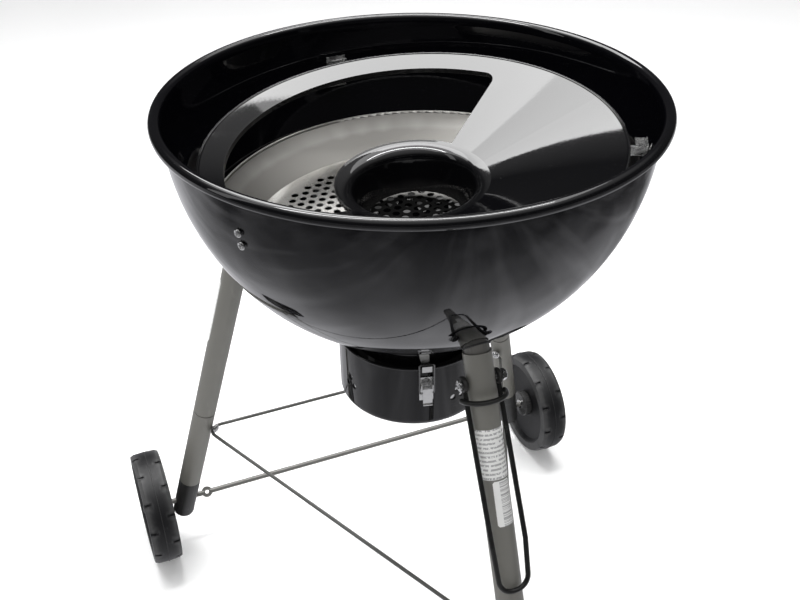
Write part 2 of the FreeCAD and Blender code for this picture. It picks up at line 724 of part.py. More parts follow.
def axle():
    """One rod through both wheels, staked flat and pierced beside each leg."""
    centre = axle_centre()
    rod = rod_between(centre - X_AXIS * AXLE_HALF, centre + X_AXIS * AXLE_HALF, AXLE_R)
    leg_x = leg_point("right_rear", WHEEL_R).x
    for side in (-1, 1):
        spot = centre + X_AXIS * side * (leg_x - LEG_R - 18)
        facing = Vector(0, -0.87, 0.5)
        eye = Part.makeCylinder(8.5, 3.6, spot - facing * 1.8, facing)
        drill = Part.makeCylinder(3.2, 20, spot - facing * 10, facing)
        slab = Part.makeCylinder(5.0, 20, spot - facing * 10, facing)
        rod = rod.cut(slab).fuse(eye).cut(drill)
    return rod.removeSplitter()


def wheel_profile():
    """Half section of a wheel as (radius, offset), the leg's side at negative offset."""
    half = WHEEL_W / 2
    crown = WHEEL_R - 0.7
    shoulder = WHEEL_R - 3.5
    tread = [(shoulder, -half), (crown - 0.6, -half + 5), (crown, -4.0), (crown, 4.0)]
    tread += [(crown - 0.6, half - 5), (shoulder, half)]
    outer = [(74.0, half), (68.0, half - 5.0), (30.0, half - 9.0), (20.0, half - DISH), (12.0, half - DISH)]
    inner = [(12.0, -half + 10), (26.0, -half + 11), (66.0, -half + 7), (72.0, -half)]
    return tread + outer + inner


def wheel(side):
    """Moulded wheel with notched shoulders, a mould line and shallow pockets outside."""
    centre = axle_centre()
    body = lathe(wheel_profile(), X_AXIS)
    ridge = [(WHEEL_R - 1.2, -0.8), (WHEEL_R, -0.5), (WHEEL_R, 0.5), (WHEEL_R - 1.2, 0.8)]
    body = body.fuse(lathe(ridge, X_AXIS)).removeSplitter()
    notches = []
    for k in range(NOTCHES):
        for end, shift in ((-1, 0.0), (1, 0.5)):
            notch = Part.makeBox(14, 4.0, 12, Vector(-7 + end * (WHEEL_W / 2 - 3), -2.0, WHEEL_R - 3.4))
            notch.rotate(ORIGIN, X_AXIS, (k + shift) * 360 / NOTCHES)
            notches.append(notch)
    for k in range(POCKETS):
        pocket = Part.makeBox(13, 13, 26, Vector(WHEEL_W / 2 - 14.0, -6.5, 35))
        pocket = pocket.makeFillet(5.5, [e for e in pocket.Edges if e.BoundBox.XLength > 12])
        pocket.rotate(ORIGIN, X_AXIS, k * 360 / POCKETS)
        notches.append(pocket)
    body = body.cut(group(notches))
    if side < 0:
        body = body.mirror(ORIGIN, X_AXIS)
    body.translate(centre + X_AXIS * side * TRACK_HALF)
    return body


def wheel_hub(side):
    """Glossy hub: a bush through the wheel with a boss that faces the leg."""
    half = WHEEL_W / 2
    bore = AXLE_R + FIT
    boss = -half - HUB_PROUD
    back = -half + 9.8
    outline = [(bore, boss), (HUB_R - 1.5, boss), (HUB_R, boss + 1.5), (HUB_R, back), (11.9, back)]
    outline += [(11.9, half - DISH), (bore, half - DISH)]
    hub = lathe(outline, X_AXIS)
    if side < 0:
        hub = hub.mirror(ORIGIN, X_AXIS)
    hub.translate(axle_centre() + X_AXIS * side * TRACK_HALF)
    return hub


def axle_washers():
    """Washers between the leg caps and the hubs."""
    centre = axle_centre()
    washers = []
    hub_x = TRACK_HALF - WHEEL_W / 2 - HUB_PROUD
    for side in (-1, 1):
        start = centre + X_AXIS * side * (hub_x - 2.0)
        end = centre + X_AXIS * side * (hub_x - 0.4)
        washers.append(rod_between(start, end, 8.0).cut(rod_between(start, end, AXLE_R)))
    return group(washers)


def axle_caps():
    """Push-on caps that hold the wheels on the axle."""
    centre = axle_centre()
    caps = []
    face = TRACK_HALF + WHEEL_W / 2 - DISH + 0.4
    for side in (-1, 1):
        outline = [(AXLE_R, face), (8.0, face), (8.0, face + 4.0), (5.5, face + 6.4), (0.0, face + 7.0)]
        outline += [(0.0, AXLE_HALF), (AXLE_R, AXLE_HALF)]
        cap = lathe(outline, X_AXIS)
        if side < 0:
            cap = cap.mirror(ORIGIN, X_AXIS)
        cap.translate(centre)
        caps.append(cap)
    return group(caps)


# ---- Hanger ----
def hanger_frame():
    """Pivot point on the leg's centre line, the direction down the leg and the one out of it."""
    down = leg_down("front")
    out = X_AXIS.cross(down).normalize()
    if out.y > 0:
        out = out * -1
    return leg_point("front", HANGER_Z), down, out


def hanger():
    """Long wire loop with two pivot eyes and a bow that passes in front of the leg."""
    pivot, down, out = hanger_frame()
    side = LEG_R + HANGER_WIRE_R + 1.4
    eye_r = EYE_BORE_R + HANGER_WIRE_R
    front = LEG_R + HANGER_WIRE_R + 0.4

    def spot(x, along, ahead):
        return pivot + X_AXIS * x + down * along + out * ahead

    end = spot(0, HANGER_LENGTH, front)
    tip = side - 3.0
    left = [spot(-side, eye_r, 0), spot(-side, HANGER_LENGTH - HANGER_SHOULDER, front), end - X_AXIS * tip]
    right = [spot(side, HANGER_LENGTH - HANGER_SHOULDER, front), spot(side, eye_r, 0)]
    loop = bent_wire(left + [end + X_AXIS * tip] + right, tip - 0.5, HANGER_WIRE_R)
    eyes = [Part.makeTorus(eye_r, HANGER_WIRE_R, pivot + X_AXIS * s * side, X_AXIS) for s in (-1, 1)]
    bow_r = side + 2 * HANGER_WIRE_R - 0.5
    bow_centre = spot(0, HANGER_BOW, 0)
    bow = Part.makeTorus(bow_r, HANGER_WIRE_R, bow_centre, down)
    corner = bow_centre - X_AXIS * 60 - down * 20 + out * 1.0
    keep = Part.Face(Part.makePolygon([
        corner, corner + X_AXIS * 120, corner + X_AXIS * 120 + down * 40, corner + down * 40, corner]))
    bow = bow.common(keep.extrude(out * 60))
    return loop.fuse(eyes + [bow]).removeSplitter()


def hanger_bolt():
    """Bolt through the front leg and its socket; the hanger's eyes turn on it."""
    grip = LEG_R + 2 * HANGER_WIRE_R + 2.2
    start = leg_point("front", HANGER_Z) - X_AXIS * (grip + 0.6)
    return screw(start, X_AXIS, BOLT_R, 2 * grip + 8.0, 6.8, 3.6)


def hanger_nut():
    grip = LEG_R + 2 * HANGER_WIRE_R + 2.8
    return hexagon_nut(leg_point("front", HANGER_Z) + X_AXIS * grip, X_AXIS, 12.0, 5.2, BOLT_R)


def all_parts():
    parts = {
        "bowl": bowl(),
        "bracket_screws": bracket_screws(),
        "bracket_nuts": bracket_nuts(),
        "pan_pegs": pan_pegs(),
        "collar": collar(),
        "latch_keepers": keepers(),
        "charcoal_pan": charcoal_pan(),
        "pan_plate": pan_plate(),
        "funnel": funnel(),
        "ash_bucket": ash_bucket(),
        "damper_ring": damper_ring(),
        "damper_studs": damper_studs(),
        "latch_bases": latch_bases(),
        "latch_pins": latch_pins(),
        "latch_rivets": latch_rivets(),
        "leg_bolts": leg_bolts(),
        "leg_brace": leg_brace(),
        "brace_washers": brace_washers(),
        "brace_screws": brace_screws(),
        "axle": axle(),
        "axle_washers": axle_washers(),
        "axle_caps": axle_caps(),
        "hanger": hanger(),
        "hanger_bolt": hanger_bolt(),
        "hanger_nut": hanger_nut(),
    }
    for side in BRACKETS:
        parts["grate_bracket_" + side] = bracket(side)
    for end, azimuth in LATCH_AZ.items():
        parts["latch_lever_" + end] = latch_lever(azimuth)
        parts["latch_bail_" + end] = latch_bail(azimuth)
    for leg in LEGS:
        parts[leg + "_leg_upper"] = leg_upper(leg)
        parts[leg + "_leg_lower"] = leg_lower(leg)
        parts[leg + "_leg_socket"] = leg_socket(leg)
        parts[leg + "_leg_cap"] = leg_cap(leg)
    for name, side in (("left", -1), ("right", 1)):
        parts[name + "_wheel"] = wheel(side)
        parts[name + "_wheel_hub"] = wheel_hub(side)
    return parts


def footprint_middle(parts):
    boxes = [shape.optimalBoundingBox(False, False) for shape in parts.values()]
    return (min(box.YMin for box in boxes) + max(box.YMax for box in boxes)) / 2


def main():
    os.makedirs("parts", exist_ok=True)
    parts = all_parts()
    shift = -footprint_middle(parts)
    print("kettle axis at Y =", round(shift, 3))
    for name, shape in parts.items():
        shape.translate(Vector(0, shift, 0))
        shape.exportStep("parts/" + name + ".step")
        box = shape.optimalBoundingBox(False, False)
        print(name, len(shape.Solids), shape.isValid(), round(shape.Volume),
              [round(v, 1) for v in (box.XMin, box.YMin, box.ZMin, box.XMax, box.YMax, box.ZMax)])


main()
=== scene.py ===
"""Kettle charcoal grill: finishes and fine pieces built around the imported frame, laid out as an add-on."""

import math

import bmesh
import bpy
from bpy.props import FloatProperty, FloatVectorProperty, IntProperty, PointerProperty
from mathutils import Matrix, Vector


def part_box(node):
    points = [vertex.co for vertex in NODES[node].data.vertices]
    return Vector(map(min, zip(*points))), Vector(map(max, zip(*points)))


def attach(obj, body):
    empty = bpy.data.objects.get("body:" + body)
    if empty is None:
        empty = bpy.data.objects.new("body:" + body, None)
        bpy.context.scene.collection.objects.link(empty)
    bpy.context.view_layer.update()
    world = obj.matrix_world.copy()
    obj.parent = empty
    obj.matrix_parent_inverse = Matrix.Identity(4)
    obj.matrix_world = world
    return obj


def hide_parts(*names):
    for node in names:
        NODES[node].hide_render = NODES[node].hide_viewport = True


bl_info = {
    "name": "Kettle charcoal grill",
    "version": (1, 0, 0),
    "blender": (4, 5, 0),
    "location": "View3D > Sidebar > Grill",
    "description": "Builds the finishes and fine pieces of a kettle charcoal grill",
    "category": "Object",
}

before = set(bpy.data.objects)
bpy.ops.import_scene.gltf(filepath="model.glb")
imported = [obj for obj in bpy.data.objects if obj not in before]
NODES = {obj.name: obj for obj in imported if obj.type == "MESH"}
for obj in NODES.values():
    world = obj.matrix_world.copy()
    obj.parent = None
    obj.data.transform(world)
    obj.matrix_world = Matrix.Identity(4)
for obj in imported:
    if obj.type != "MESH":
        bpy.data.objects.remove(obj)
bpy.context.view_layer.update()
MM = 0.001

# The rolled rim's radius, and the part of a circle that its section covers, in degrees.
ROLL_R = 6.5 * MM
BEAD_FROM, BEAD_TO = 206, 540
# Half widths of the floor and of its bounce card, and how far below the grill each lies.
FLOOR_REACH = 6.0
FLOOR_DROP = 0.6 * MM
CARD_REACH = 4.0
CARD_DROP = 0.3 * MM

BOWL_LOW, BOWL_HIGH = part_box("bowl")
AXIS = Vector(((BOWL_LOW.x + BOWL_HIGH.x) / 2, (BOWL_LOW.y + BOWL_HIGH.y) / 2, 0.0))
RIM_Z = BOWL_HIGH.z - ROLL_R
RIM_R = (BOWL_HIGH.x - BOWL_LOW.x) / 2
BOWL_R = RIM_R - 12 * MM
BOWL_DEPTH = 283 * MM
BOWL_WALL = 1.5 * MM
OUTLET_R = 70 * MM
UP = Vector((0, 0, 1))
EAST = Vector((1, 0, 0))
# Each leg's bearing, its centre line's distance from the axis at the floor, and its lean per height.
REAR_LEG = (417.9 * MM, 0.308)
REAR_AZ = 132.6
LEGS = {
    "front": (0.0, 398.0 * MM, 0.365),
    "left_rear": (-REAR_AZ, *REAR_LEG),
    "right_rear": (REAR_AZ, *REAR_LEG),
}
LEG_R = 16.25 * MM
SOCKET_R = 14.55 * MM
COLLAR_R = 82.5 * MM
SOCKET_LOW = 330 * MM
# Radius out to which the charcoal plate is painted black: painted shade for the shadow inside the funnel's
# throat.
PAINTED_SHADE_R = 88 * MM
INK = (0.16, 0.16, 0.17)
ROOT = "kettle_and_stand"


def polar(radius, azimuth, z=0.0):
    """Point at a radius from the kettle's axis; azimuth 0 is towards the single leg."""
    bearing = math.radians(azimuth)
    return AXIS + Vector((radius * math.sin(bearing), -radius * math.cos(bearing), z))


def leg_point(leg, z):
    """Point of a leg's centre line at a height."""
    azimuth, foot, lean = LEGS[leg]
    return polar(foot - lean * z, azimuth, z)


def leg_axes(leg):
    """Directions up the leg, outwards from it and across it."""
    up = (leg_point(leg, 0.1) - leg_point(leg, 0)).normalized()
    out = (polar(1, LEGS[leg][0]) - AXIS)
    out = (out - up * out.dot(up)).normalized()
    return up, out, up.cross(out).normalized()


# ---- Shader maths ----
class Term:
    """One shader value that takes part in Python arithmetic."""

    def __init__(self, maker, socket):
        self.maker = maker
        self.socket = socket

    def maths(self, operation, *values):
        return self.maker.node("ShaderNodeMath", {"operation": operation}, dict(enumerate(values)))

    def __add__(self, other):
        return self.maths("ADD", self, other)

    def __sub__(self, other):
        return self.maths("SUBTRACT", self, other)

    def __rsub__(self, other):
        return self.maths("SUBTRACT", other, self)

    def __mul__(self, other):
        return self.maths("MULTIPLY", self, other)

    def __pow__(self, other):
        return self.maths("POWER", self, other)

    def __gt__(self, other):
        return self.maths("GREATER_THAN", self, other)

    def sine(self):
        return self.maths("SINE", self)

    def __lt__(self, other):
        return self.maths("LESS_THAN", self, other)

    __radd__ = __add__
    __rmul__ = __mul__


def finish_name(name):
    """A finish's own name, apart from the frame's material of the same slot."""
    return f"{name}_finish"


class Maker:
    """Builds one material's nodes; what varies over the surface is given as terms."""

    def __init__(self, name):
        self.material = bpy.data.materials.new(finish_name(name))
        self.material.use_nodes = True
        self.tree = self.material.node_tree
        self.shader = self.tree.nodes["Principled BSDF"]
        self.place = self.node("ShaderNodeTexCoord", out="Object")

    def node(self, kind, settings=None, inputs=None, out=0):
        """Adds a node: its settings first, then its sockets' values or links."""
        made = self.tree.nodes.new(kind)
        for key, value in (settings or {}).items():
            if key == "stops":
                self.stops(made.color_ramp.elements, value)
            else:
                setattr(made, key, value)
        for key, value in (inputs or {}).items():
            self.feed(made.inputs[key], value)
        return Term(self, made.outputs[out])

    def stops(self, elements, stops):
        while len(elements) < len(stops):
            elements.new(0.5)
        for element, (position, grey) in zip(elements, stops):
            element.position = position
            element.color = (grey, grey, grey, 1.0)

    def feed(self, socket, value):
        if isinstance(value, Term):
            self.tree.links.new(value.socket, socket)
        else:
            socket.default_value = value

    def constant(self, **values):
        """Sets the shader's own sockets."""
        for name, value in values.items():
            self.shader.inputs[name.replace("_", " ").title().replace("Ior", "IOR")].default_value = value

    def noise(self, scale, detail=2.0, rough=0.5, vector=None):
        sockets = {"Vector": vector or self.place, "Scale": scale, "Detail": detail, "Roughness": rough}
        return self.node("ShaderNodeTexNoise", {}, sockets, "Fac")

    def grains(self, scale, vector=None):
        sockets = {"Vector": vector or self.place, "Scale": scale}
        return self.node("ShaderNodeTexVoronoi", {"feature": "F1"}, sockets, "Distance")

    def between(self, value, low, high):
        """Value spread to 0 at low and 1 at high, and held there."""
        sockets = {"Value": value, "From Min": low, "From Max": high}
        return self.node("ShaderNodeMapRange", {"clamp": True}, sockets)

    def blend(self, factor, first, second):
        sockets = {0: factor, 6: (*first, 1) if isinstance(first, tuple) else first,
                   7: (*second, 1) if isinstance(second, tuple) else second}
        return self.node("ShaderNodeMix", {"data_type": "RGBA"}, sockets, 2)

    def stretched(self, scale):
        return self.node("ShaderNodeVectorMath", {"operation": "MULTIPLY"}, {0: self.place, 1: scale})

    def parts(self, vector):
        """X, Y and Z of a vector."""
        node = self.node("ShaderNodeSeparateXYZ", {}, {0: vector}).socket.node
        return [Term(self, output) for output in node.outputs]

    def edges(self, low=0.505, high=0.56):
        """1 on outward edges, 0 on flats."""
        return self.between(self.node("ShaderNodeNewGeometry", out="Pointiness"), low, high)

    def from_axis(self):
        """Distance from the kettle's upright axis."""
        x, y, _ = self.parts(self.place)
        y = y - AXIS.y
        return (x * x + y * y) ** 0.5

    def finish(self, colour, roughness, height=None, depth=0.0002, strength=0.5, soft=0.0):
        self.feed(self.shader.inputs["Base Color"], colour)
        self.feed(self.shader.inputs["Roughness"], roughness)
        normal = None
        if soft:
            normal = self.node("ShaderNodeBevel", {"samples": 4}, {"Radius": soft})
        if height is not None:
            sockets = {"Height": height, "Distance": depth, "Strength": strength}
            if normal is not None:
                sockets["Normal"] = normal
            normal = self.node("ShaderNodeBump", {}, sockets)
        if normal is not None:
            self.feed(self.shader.inputs["Normal"], normal)
        return self.material


# ---- Finishes ----
def black_enamel(name, base, gloss):
    """Fired enamel: near black, glassy, with a faint orange peel, dust specks and hazy wipe marks."""
    make = Maker(name)
    haze = make.noise(7.0, 3.0, 0.6)
    peel = make.noise(330.0, 1.0)
    wipe = make.noise(1.0, 4.0, 0.55, make.stretched((6.0, 34.0, 70.0)))
    specks = make.between(make.grains(420.0), 0.10, 0.05)
    dust = specks * make.between(make.noise(31.0), 0.52, 0.66)
    edge = make.edges()
    colour = make.blend(dust * 0.18 + edge * 0.03, base, (0.33, 0.32, 0.31))
    rough = gloss + haze * 0.02 + make.between(wipe, 0.55, 0.75) * 0.05 + dust * 0.3
    make.constant(metallic=0.0, ior=1.5, coat_weight=0.1, coat_roughness=0.03)
    return make.finish(colour, rough, peel + dust * 0.4, 0.00005, 0.2, 0.0004)


def powder_coat(name, base, light, gloss):
    """Baked powder paint: fine pebbled grain, slight mottling, paler rubbed edges."""
    make = Maker(name)
    pebble = make.noise(1500.0, 2.0)
    mottle = make.noise(26.0, 4.0, 0.6)
    edge = make.edges(0.51, 0.60)
    flecks = make.between(make.grains(1300.0), 0.16, 0.08) * make.between(mottle, 0.4, 0.7)
    rubs = make.between(make.noise(1.0, 5.0, 0.6, make.stretched((90.0, 90.0, 9.0))), 0.63, 0.74)
    colour = make.blend(make.between(mottle, 0.3, 0.75) * 0.35 + flecks * 0.25, base, light)
    colour = make.blend(edge * 0.4 + rubs * 0.12, colour, (0.30, 0.29, 0.27))
    rough = gloss + mottle * 0.1 + flecks * 0.1 - rubs * 0.08
    make.constant(metallic=0.12, ior=1.48)
    return make.finish(colour, rough, pebble + mottle * 0.3, 0.00012, 0.45, 0.0004)


def spun_steel(name, base, gloss, ring_scale, painted_shade_r=0.0):
    """Stainless sheet with fine rings from spinning and handling haze; a painted shade blackens it out to a
    radius, for the shadow deep under the funnel's throat.
    """
    make = Maker(name)
    radius = make.from_axis()
    rings = make.node("ShaderNodeTexNoise", {"noise_dimensions": "1D"},
                      {"W": radius * ring_scale, "Scale": 1.0, "Detail": 5.0, "Roughness": 0.7}, "Fac")
    haze = make.noise(9.0, 3.0, 0.6)
    marks = make.between(make.noise(1.0, 6.0, 0.7, make.stretched((300.0, 22.0, 60.0))), 0.62, 0.72)
    grain = make.noise(900.0, 2.0)
    dull = tuple(value * 0.72 for value in base)
    colour = make.blend(rings * 0.5 + haze * 0.35, base, dull)
    colour = make.blend(make.edges() * 0.4, colour, (0.9, 0.89, 0.87))
    make.constant(metallic=1.0, specular_ior_level=0.0)
    rough = gloss + rings * 0.16 + haze * 0.1 + marks * 0.08
    # Painted shade: out to the radius the plate turns black and non-metallic, in place of the shadow under
    # the funnel's throat.
    if painted_shade_r:
        black = make.between(radius + haze * 0.02, painted_shade_r + 0.012, painted_shade_r - 0.006)
        colour = make.blend(black, colour, (0.004, 0.004, 0.004))
        make.feed(make.shader.inputs["Metallic"], 1 - black)
    return make.finish(colour, rough, rings + grain * 0.3, 0.00004, 0.4, 0.0003)


def plated_steel(name, base, gloss, grain_scale):
    """Plated fittings: bright, with drawn grain, faint crystals and darker random stains."""
    make = Maker(name)
    drawn = make.noise(1.0, 4.0, 0.6, make.stretched((1400.0, 1400.0, 160.0)))
    crystals = make.grains(grain_scale)
    stain = make.between(make.noise(45.0, 4.0), 0.48, 0.75)
    edge = make.edges(0.5, 0.57)
    dull = tuple(value * 0.62 for value in base)
    colour = make.blend(stain * 0.55 + crystals * 0.2, base, dull)
    colour = make.blend(edge * 0.5, colour, (0.93, 0.93, 0.92))
    make.constant(metallic=1.0)
    rough = gloss + stain * 0.14 + crystals * 0.08 - edge * 0.05
    return make.finish(colour, rough, drawn + crystals * 0.4, 0.00004, 0.35, 0.0003)


def moulded_plastic(name, base, worn, gloss, grain):
    """Injection-moulded plastic: leathery grain, bloom, scuffed edges."""
    make = Maker(name)
    leather = make.grains(grain)
    bloom = make.noise(14.0, 5.0, 0.65)
    fine = make.noise(grain * 1.7, 2.0)
    edge = make.edges(0.505, 0.58)
    scuff = make.between(make.noise(60.0, 6.0, 0.7), 0.6, 0.72)
    colour = make.blend(make.between(bloom, 0.35, 0.7) * 0.45, base, worn)
    colour = make.blend(edge * 0.35 + scuff * 0.12, colour, (0.16, 0.16, 0.16))
    make.constant(metallic=0.0, ior=1.42)
    rough = gloss + bloom * 0.14 + fine * 0.08 - scuff * 0.05
    return make.finish(colour, rough, leather + fine * 0.5, 0.00010, 0.4, 0.0005)


def paper(name, base, tint, pitch=0.0, bars=False):
    """Label stock with fibre grain and soiled patches; a pitch adds plain grey rows or bars along the leg.
    """
    make = Maker(name)
    fibre = make.noise(1.0, 4.0, 0.6, make.stretched((900.0, 900.0, 260.0)))
    soil = make.between(make.noise(70.0, 5.0, 0.6), 0.5, 0.8)
    curl = make.noise(160.0, 2.0)
    colour = make.blend(soil * 0.3 + fibre * 0.15, base, tint)
    if pitch:
        up, _, _ = leg_axes("front")
        along = make.node("ShaderNodeVectorMath", {"operation": "DOT_PRODUCT"},
                          {0: make.place, 1: up}, "Value")
        x, _, _ = make.parts(make.place)
        if bars:
            width = make.node("ShaderNodeTexNoise", {"noise_dimensions": "1D"},
                              {"W": along, "Scale": 1 / pitch, "Detail": 1.0}, "Fac")
            ink = (width > 0.5) * (x > -1.0 * MM) * (11.0 * MM > x)
        else:
            row = (along * (2 * math.pi / pitch)).sine() > 0.1
            words = make.noise(1.0, 2.0, 0.5, make.stretched((420.0, 420.0, 180.0)))
            ink = row * (words > 0.44)
        colour = make.blend(ink * 0.62, colour, INK)
    make.constant(metallic=0.0, coat_weight=0.15)
    return make.finish(colour, 0.42 + fibre * 0.15 + soil * 0.1, fibre + curl * 0.6, 0.00006, 0.3)


def weld_metal(name):
    """Painted weld bead with ripples."""
    make = Maker(name)
    ripple = make.grains(380.0)
    mottle = make.noise(120.0, 3.0)
    colour = make.blend(mottle, (0.02, 0.02, 0.022), (0.05, 0.05, 0.048))
    make.constant(metallic=0.2)
    return make.finish(colour, 0.28 + mottle * 0.2, ripple + mottle * 0.5, 0.0004, 0.5)


def ground_coat(name, base):
    """Pale studio floor with a barely visible mottling and a faint glow of its own."""
    make = Maker(name)
    mottle = make.noise(2.2, 4.0)
    grain = make.noise(240.0, 2.0)
    colour = make.blend(mottle * 0.4, base, tuple(value * 0.985 for value in base))
    make.constant(emission_color=(1.0, 1.0, 1.0, 1.0), emission_strength=0.12)
    return make.finish(colour, 0.55 + mottle * 0.08, grain, 0.0001, 0.1)


# ---- Mesh helpers ----
def arc(across, up, radius, start, end, steps):
    """Points (radius, height) along part of a circle, angles in degrees."""
    turned = [math.radians(start + (end - start) * k / steps) for k in range(steps + 1)]
    return [(across + radius * math.cos(a), up + radius * math.sin(a)) for a in turned]


def basis(origin, axis, side=None):
    """Matrix that puts local Z on an axis through an origin."""
    axis = Vector(axis).normalized()
    side = Vector(side) if side is not None else (UP if abs(axis.z) < 0.9 else EAST)
    x = (side - axis * side.dot(axis)).normalized()
    y = axis.cross(x)
    return Matrix.Translation(origin) @ Matrix((x, y, axis)).transposed().to_4x4()


def spin(mesh, outline, steps, matrix, closed=True):
    """Adds a turned surface to a bmesh from (radius, height) points about a matrix's Z axis."""
    rings = []
    for radius, height in outline:
        if radius < 1e-7:
            rings.append([mesh.verts.new(matrix @ Vector((0, 0, height)))] * steps)
            continue
        turned = [2 * math.pi * k / steps for k in range(steps)]
        rings.append([mesh.verts.new(matrix @ Vector((radius * math.cos(a), radius * math.sin(a), height)))
                      for a in turned])
    pairs = list(zip(rings, rings[1:]))
    if closed:
        pairs.append((rings[-1], rings[0]))
    for first, second in pairs:
        for k in range(steps):
            after = (k + 1) % steps
            corners = []
            for vert in (first[k], first[after], second[after], second[k]):
                if vert not in corners:
                    corners.append(vert)
            if len(corners) > 2:
                mesh.faces.new(corners)


def loft(mesh, loops, cap=True, ring=False):
    """Joins loops of points into a skin."""
    rows = [[mesh.verts.new(point) for point in loop] for loop in loops]
    pairs = list(zip(rows, rows[1:]))
    if ring:
        pairs.append((rows[-1], rows[0]))
    for first, second in pairs:
        for k in range(len(first)):
            after = (k + 1) % len(first)
            mesh.faces.new((first[k], first[after], second[after], second[k]))
    if cap and not ring:
        mesh.faces.new(list(reversed(rows[0])))
        mesh.faces.new(rows[-1])


def settle(name, mesh, material, body, stands_for=(), angle=35.0):
    """Turns a bmesh into a piece that rides on a body and may stand for CAD nodes."""
    bmesh.ops.remove_doubles(mesh, verts=mesh.verts, dist=1e-7)
    bmesh.ops.recalc_face_normals(mesh, faces=mesh.faces)
    data = bpy.data.meshes.new(name)
    mesh.to_mesh(data)
    mesh.free()
    piece = bpy.data.objects.new(name, data)
    bpy.context.scene.collection.objects.link(piece)
    data.materials.append(material)
    data.shade_smooth()
    data.set_sharp_from_angle(angle=math.radians(angle))
    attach(piece, body)
    if stands_for:
        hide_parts(*stands_for)
    return piece


def tube(mesh, path, radius, sides=12, closed=False):
    """Sweeps a round section along a path; radius may be a function of the path's share."""
    count = len(path)
    loops = []
    side = None
    for k, point in enumerate(path):
        before = path[(k - 1) % count] if closed or k else point
        after = path[(k + 1) % count] if closed or k < count - 1 else point
        along = (after - before).normalized()
        if side is None:
            side = along.orthogonal()
        side = (side - along * side.dot(along)).normalized()
        other = along.cross(side)
        r = radius(k / count) if callable(radius) else radius
        turned = [2 * math.pi * i / sides for i in range(sides)]
        loops.append([point + (side * math.cos(a) + other * math.sin(a)) * r for a in turned])
    loft(mesh, loops, ring=closed)


def islands(node):
    """The separate solids of a CAD node, each as its list of corner points."""
    mesh = bmesh.new()
    mesh.from_mesh(NODES[node].data)
    bmesh.ops.remove_doubles(mesh, verts=mesh.verts, dist=2e-6)
    seen = set()
    found = []
    for first in mesh.verts:
        if first in seen:
            continue
        seen.add(first)
        reached = [first]
        for vert in reached:
            for edge in vert.link_edges:
                other = edge.other_vert(vert)
                if other not in seen:
                    seen.add(other)
                    reached.append(other)
        found.append([vert.co.copy() for vert in reached])
    mesh.free()
    return found


def measure(points, axis):
    """Centre line origin, end heights and the radius at each point of a turned part."""
    frame_in = basis(Vector(), axis)
    turned = [frame_in.inverted() @ point for point in points]
    x, y = [(min(p[i] for p in turned) + max(p[i] for p in turned)) / 2 for i in (0, 1)]
    heights = [p.z for p in turned]
    radii = [math.hypot(p.x - x, p.y - y) for p in turned]
    return frame_in @ Vector((x, y, 0)), heights, radii


def cross_screw(mesh, points, axis, recess):
    """A screw on the line of a CAD screw: domed head with a cross recess, rolled thread on its shank."""
    origin, heights, radii = measure(points, axis)
    low, high = min(heights), max(heights)
    shank_r = max(r for h, r in zip(heights, radii) if h < low + 0.3 * MM)
    head_r = max(radii)
    head_low = min(h for h, r in zip(heights, radii) if r > shank_r * 1.25)
    pitch = 0.8 * MM
    outline = [(0, low), (shank_r * 0.7, low)]
    z = low + 0.3 * MM
    while z + pitch < head_low - 1.0 * MM:
        outline += [(shank_r, z + pitch * 0.35), (shank_r * 0.86, z + pitch * 0.8)]
        z += pitch
    outline += [(shank_r, z + 0.3 * MM), (shank_r, head_low), (head_r * 0.97, head_low)]
    tall = high - head_low
    outline += [(head_r * math.cos(a), head_low + tall * (0.25 + 0.75 * math.sin(a)))
                for a in [math.radians(v) for v in range(0, 84, 6)]]
    outline.append((0.0, high))
    place = basis(origin, axis)
    start = len(mesh.verts)
    spin(mesh, outline, 48, place, closed=False)
    mesh.verts.ensure_lookup_table()
    back = place.inverted()
    for vert in mesh.verts[start:]:
        local = back @ vert.co
        x, y = abs(local.x), abs(local.y)
        inside = min(x, y) < head_r * 0.15 and max(x, y) < head_r * 0.62
        if local.z > head_low + tall * 0.5 and inside:
            vert.co -= Vector(axis).normalized() * recess * (1 - max(x, y) / head_r)


def hexagon_nut(mesh, points, axis, collar=0.0):
    """A chamfered nut with a bore, and a locking collar if asked."""
    origin, heights, radii = measure(points, axis)
    low, high = min(heights), max(heights)
    flats = max(radii) * math.cos(math.radians(30))
    bore = min(radii)
    steps = 96
    top = high - collar
    rows = [(low, 0.90), (low + (top - low) * 0.16, 1.2), (top - (top - low) * 0.16, 1.2), (top, 0.90)]
    place = basis(origin, axis)
    turned = [2 * math.pi * k / steps for k in range(steps)]

    def ring(height, radius_of):
        spots = [Vector((radius_of(a) * math.cos(a), radius_of(a) * math.sin(a), height)) for a in turned]
        return [mesh.verts.new(place @ spot) for spot in spots]

    def flat(a):
        return flats / math.cos(math.radians((math.degrees(a) + 30) % 60 - 30))

    rings = [ring(low, lambda a: bore)]
    for height, limit in rows:
        rings.append(ring(height, lambda a, cap=limit: min(flat(a), max(radii) * cap + flats * 0.05)))
    if collar:
        neck = flats * 0.84
        rings += [ring(top, lambda a: neck), ring(high - 0.4 * MM, lambda a: neck)]
        rings.append(ring(high, lambda a: neck * 0.9))
    rings.append(ring(high, lambda a: bore))
    for first, second in zip(rings, rings[1:] + rings[:1]):
        for k in range(steps):
            after = (k + 1) % steps
            mesh.faces.new((first[k], first[after], second[after], second[k]))


def outward(points):
    """Level direction from the kettle's axis to a solid's middle."""
    middle = sum(points, Vector()) / len(points) - AXIS
    return Vector((middle.x, middle.y, 0)).normalized()


def dress(material, *names):
    """Gives CAD nodes a finish."""
    for name in names:
        slots = NODES[name].data.materials
        if len(slots):
            for k in range(len(slots)):
                slots[k] = material
        else:
            slots.append(material)


